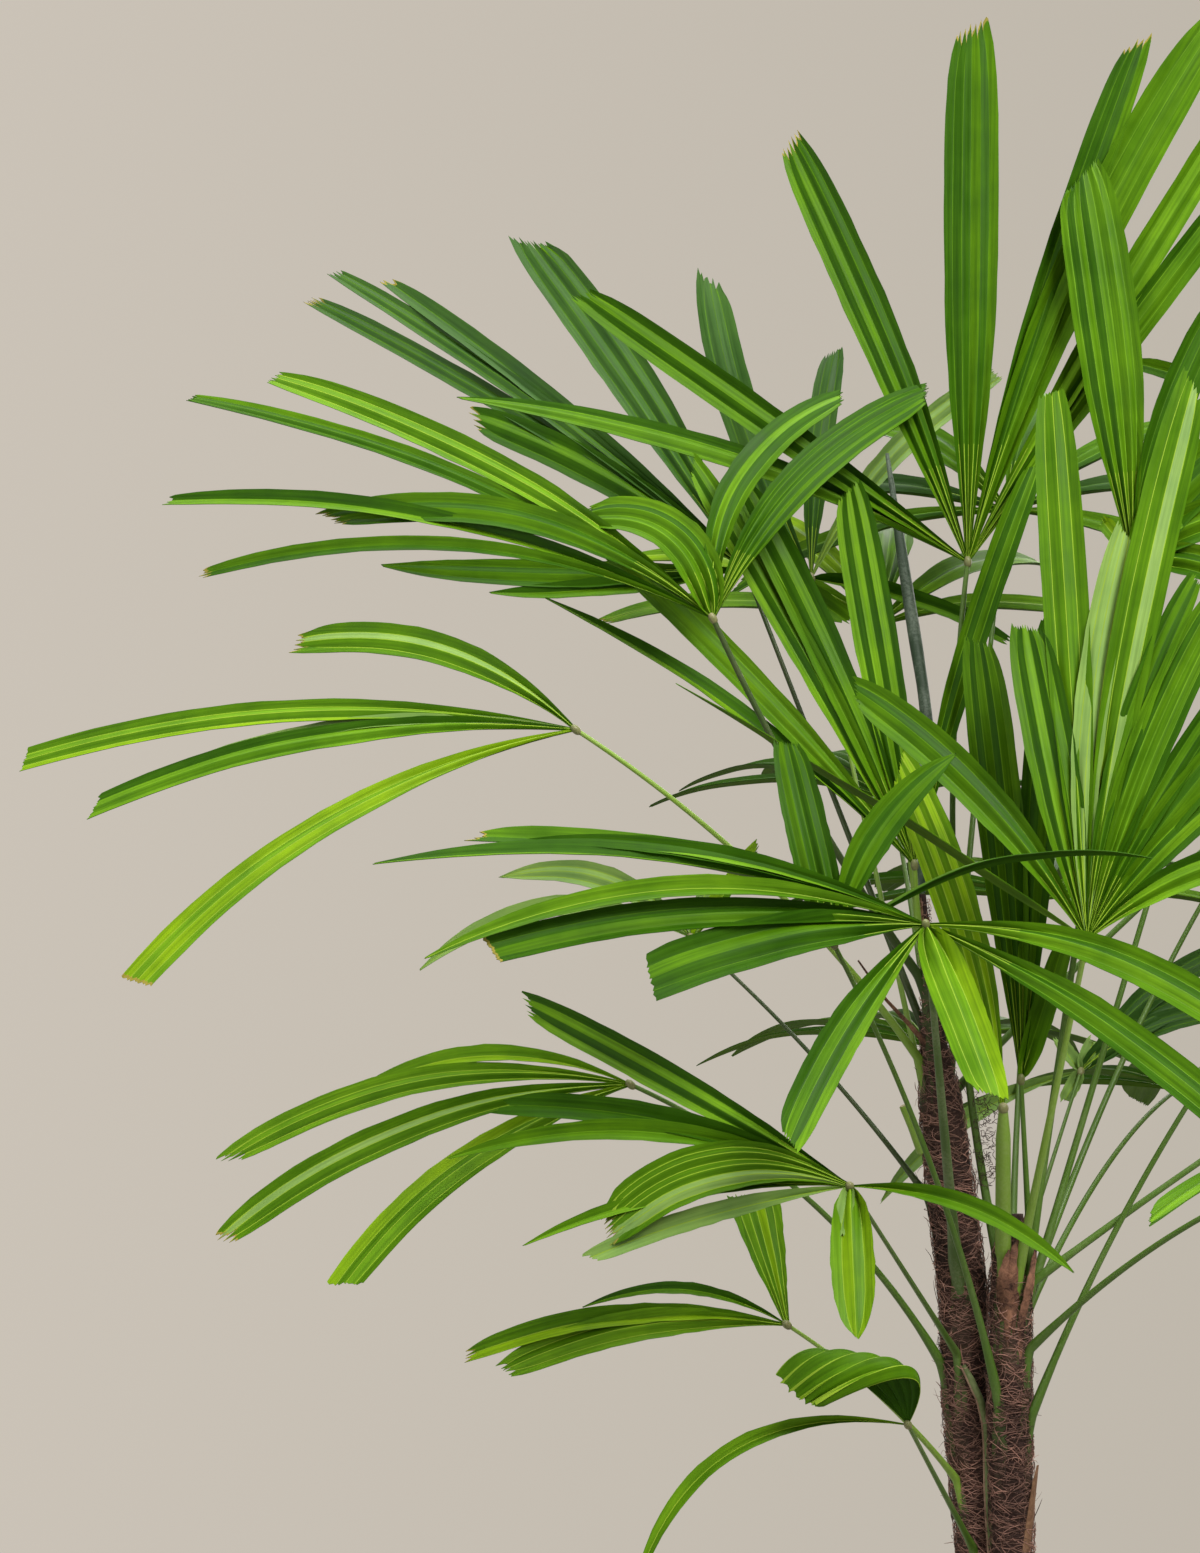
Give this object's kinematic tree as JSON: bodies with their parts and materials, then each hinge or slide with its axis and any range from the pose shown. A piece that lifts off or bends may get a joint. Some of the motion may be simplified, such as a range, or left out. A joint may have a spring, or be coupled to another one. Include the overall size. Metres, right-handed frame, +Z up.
{
  "type": "lady palm",
  "caption": "Rooted lady palm: slender fibre-clad canes with a clump of fan-shaped fronds of strap leaflets",
  "frame": {"origin": "middle of the flat ground-level cut under the taller cane", "axes": "+Z up, +X to the right as pictured, -Y toward the viewer"},
  "size_m": [1.2462, 0.913, 1.2722],
  "materials": {
    "cane_fibre": "hairy woven fibre, matte",
    "leaf_green": "glossy pleated leaf",
    "stem_green": "satin green stem"
  },
  "bodies": {
    "root": {"cane_short": "cane_fibre", "cane_tall": "cane_fibre", "cut_leaf_stem": "stem_green", "frond_back_left": "leaf_green", "frond_back_right": "leaf_green", "frond_dark_left": "leaf_green", "frond_far_left": "leaf_green", "frond_front": "leaf_green", "frond_front_right": "leaf_green", "frond_inner_left": "leaf_green", "frond_left": "leaf_green", "frond_low": "leaf_green", "frond_lower_left": "leaf_green", "frond_lowest": "leaf_green", "frond_middle": "leaf_green", "frond_newest": "leaf_green", "frond_pale_back": "leaf_green", "frond_rear_high": "leaf_green", "frond_rear_left": "leaf_green", "frond_rear_low": "leaf_green", "frond_rear_low_right": "leaf_green", "frond_rear_middle": "leaf_green", "frond_rear_right": "leaf_green", "frond_rear_top": "leaf_green", "frond_right_far": "leaf_green", "frond_right_front": "leaf_green", "frond_right_high": "leaf_green", "frond_right_low": "leaf_green", "frond_right_top": "leaf_green", "frond_top": "leaf_green", "frond_upper_right": "leaf_green", "frond_upright": "leaf_green", "frond_young": "leaf_green", "spear": "stem_green"}
  },
  "joints": []
}
